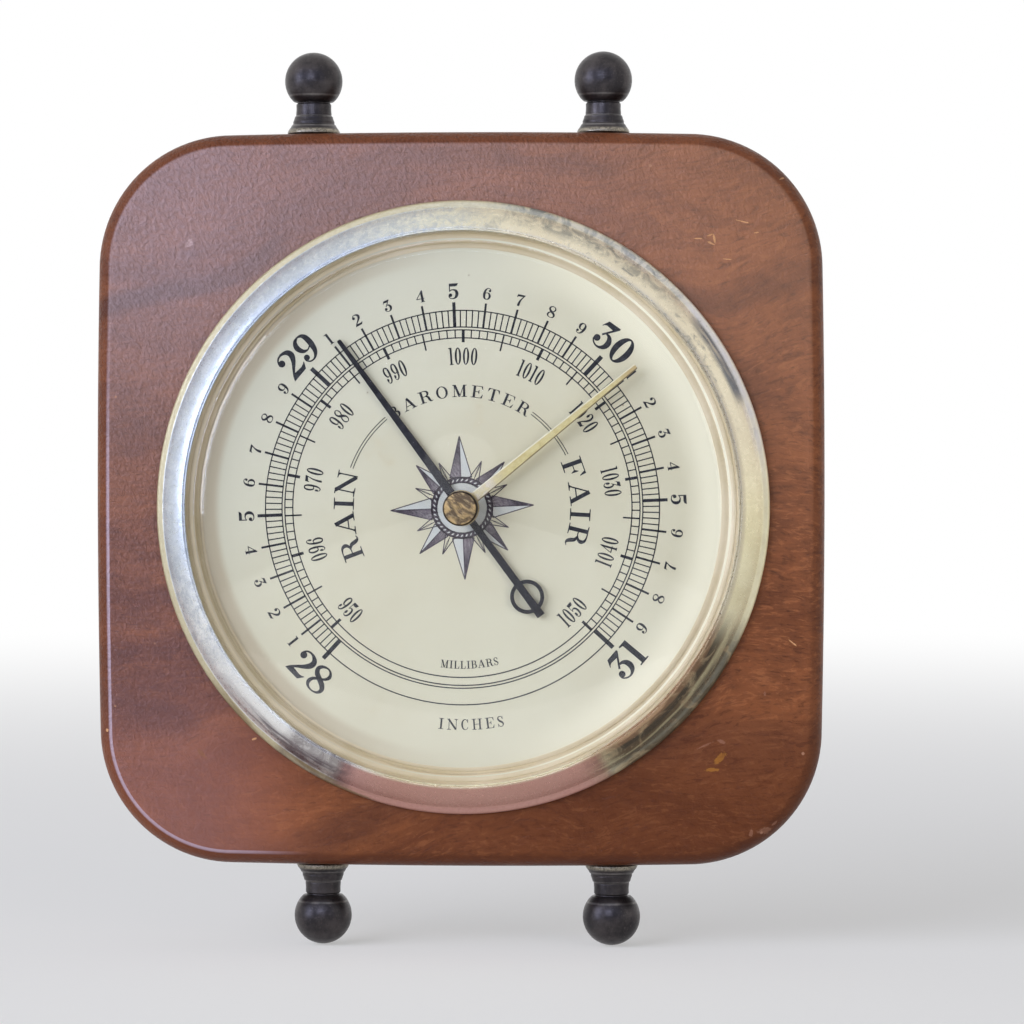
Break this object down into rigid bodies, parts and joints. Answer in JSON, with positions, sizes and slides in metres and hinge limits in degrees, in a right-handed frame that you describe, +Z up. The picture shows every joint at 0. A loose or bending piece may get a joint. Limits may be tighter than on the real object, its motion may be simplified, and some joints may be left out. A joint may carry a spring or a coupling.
{
  "type": "aneroid barometer on a wall plaque",
  "caption": "Wall weather station: aneroid barometer with a brass bezel, printed dial, pointer and set hand, let into a square wooden plaque with turned metal spindles.",
  "frame": {"origin": "on the dial's axis, on the pressed centre of the case can that lies flush with the back of the plaque, against the wall", "axes": "+Z up, +Y into the wall, so the dial faces -Y, +X to the right as seen from the front"},
  "size_m": [0.1524, 0.0291, 0.1882],
  "materials": {
    "stained_wood": "brown stain under worn satin varnish",
    "gunmetal": "dark gunmetal plating, worn at the edges",
    "steel_sheet": "zinc plated",
    "dial_enamel": "cream enamel with a black print",
    "pale_brass": "polished pale brass with grey tarnish",
    "clear_lens": "clear polished",
    "brass_sheet": "satin brass",
    "spring_steel": "blued steel",
    "black_enamel": "black enamel",
    "tarnished_brass": "brown tarnished brass"
  },
  "bodies": {
    "case": {"plaque": "stained_wood", "spindle_top_left": "gunmetal", "spindle_top_right": "gunmetal", "spindle_bottom_left": "gunmetal", "spindle_bottom_right": "gunmetal", "hanger": "steel_sheet", "hanger_nail_left": "steel_sheet", "hanger_nail_right": "steel_sheet", "case_can": "steel_sheet", "rim_screw_1": "steel_sheet", "rim_screw_2": "steel_sheet", "rim_screw_3": "steel_sheet", "dial_plate": "dial_enamel", "sight_ring": "pale_brass", "lens": "clear_lens", "bezel": "pale_brass", "base_plate": "brass_sheet", "movement_screw_1": "steel_sheet", "movement_screw_2": "steel_sheet", "movement_screw_3": "steel_sheet", "aneroid_capsule": "brass_sheet", "capsule_nut": "brass_sheet", "capsule_post": "brass_sheet", "spring_bridge": "brass_sheet", "spring_clamp": "brass_sheet", "clamp_screw_lower": "steel_sheet", "clamp_screw_upper": "steel_sheet", "rocker_bracket": "brass_sheet", "arbor_bridge": "brass_sheet", "pillar_lower": "brass_sheet", "pillar_upper": "brass_sheet", "hairspring": "spring_steel", "hairspring_stud": "brass_sheet"},
    "pointer": {"pointer_arbor": "spring_steel", "pointer_hand": "black_enamel"},
    "setter": {"set_knob": "tarnished_brass", "set_hand": "pale_brass", "friction_washer": "spring_steel"},
    "adjuster": {"adjusting_screw": "brass_sheet"},
    "lever": {"main_spring": "spring_steel", "main_lever": "brass_sheet"},
    "link": {"connecting_link": "brass_sheet"},
    "rocker": {"rocking_shaft": "spring_steel"},
    "drum_chain": {"chain": "spring_steel"}
  },
  "joints": [
    {"name": "pointer_turn", "type": "hinge", "parent": "case", "child": "pointer", "pos_m": [0, -0.0214, 0], "axis": [0, 1, 0], "range_deg": [-101.1, 168.9], "stiffness_Nm_per_rad": 0.002},
    {"name": "rocker_turn", "type": "hinge", "parent": "case", "child": "rocker", "pos_m": [-0.025, -0.0073, 0], "axis": [0, 0, 1], "range_deg": [-12, 20]},
    {"name": "chain_slide", "type": "slide", "parent": "case", "child": "drum_chain", "axis": [1, 0, 0], "range_m": [-0.00178, 0.00296]},
    {"name": "lever_swing", "type": "hinge", "parent": "case", "child": "lever", "pos_m": [0.0256, -0.012, 0], "axis": [0, 0, -1], "range_deg": [-0.4, 0.65]},
    {"name": "link_swing", "type": "hinge", "parent": "lever", "child": "link", "pos_m": [-0.0235, -0.0128, 0.0093], "axis": [0, 0, 1], "range_deg": [-0.4, 0.65]},
    {"name": "set_hand_turn", "type": "hinge", "parent": "case", "child": "setter", "pos_m": [0, -0.0259, 0], "axis": [0, 1, 0], "continuous": true},
    {"name": "adjuster_turn", "type": "hinge", "parent": "case", "child": "adjuster", "pos_m": [0.0256, -0.0003, 0], "axis": [0, 1, 0], "range_deg": [-360, 360]}
  ],
  "couplings": [
    {"joint": "rocker_turn", "follows": "pointer_turn", "ratio": 0.1176},
    {"joint": "chain_slide", "follows": "pointer_turn", "m_per_rad": 0.001},
    {"joint": "lever_swing", "follows": "pointer_turn", "ratio": 0.003594},
    {"joint": "link_swing", "follows": "pointer_turn", "ratio": 0.003594}
  ]
}
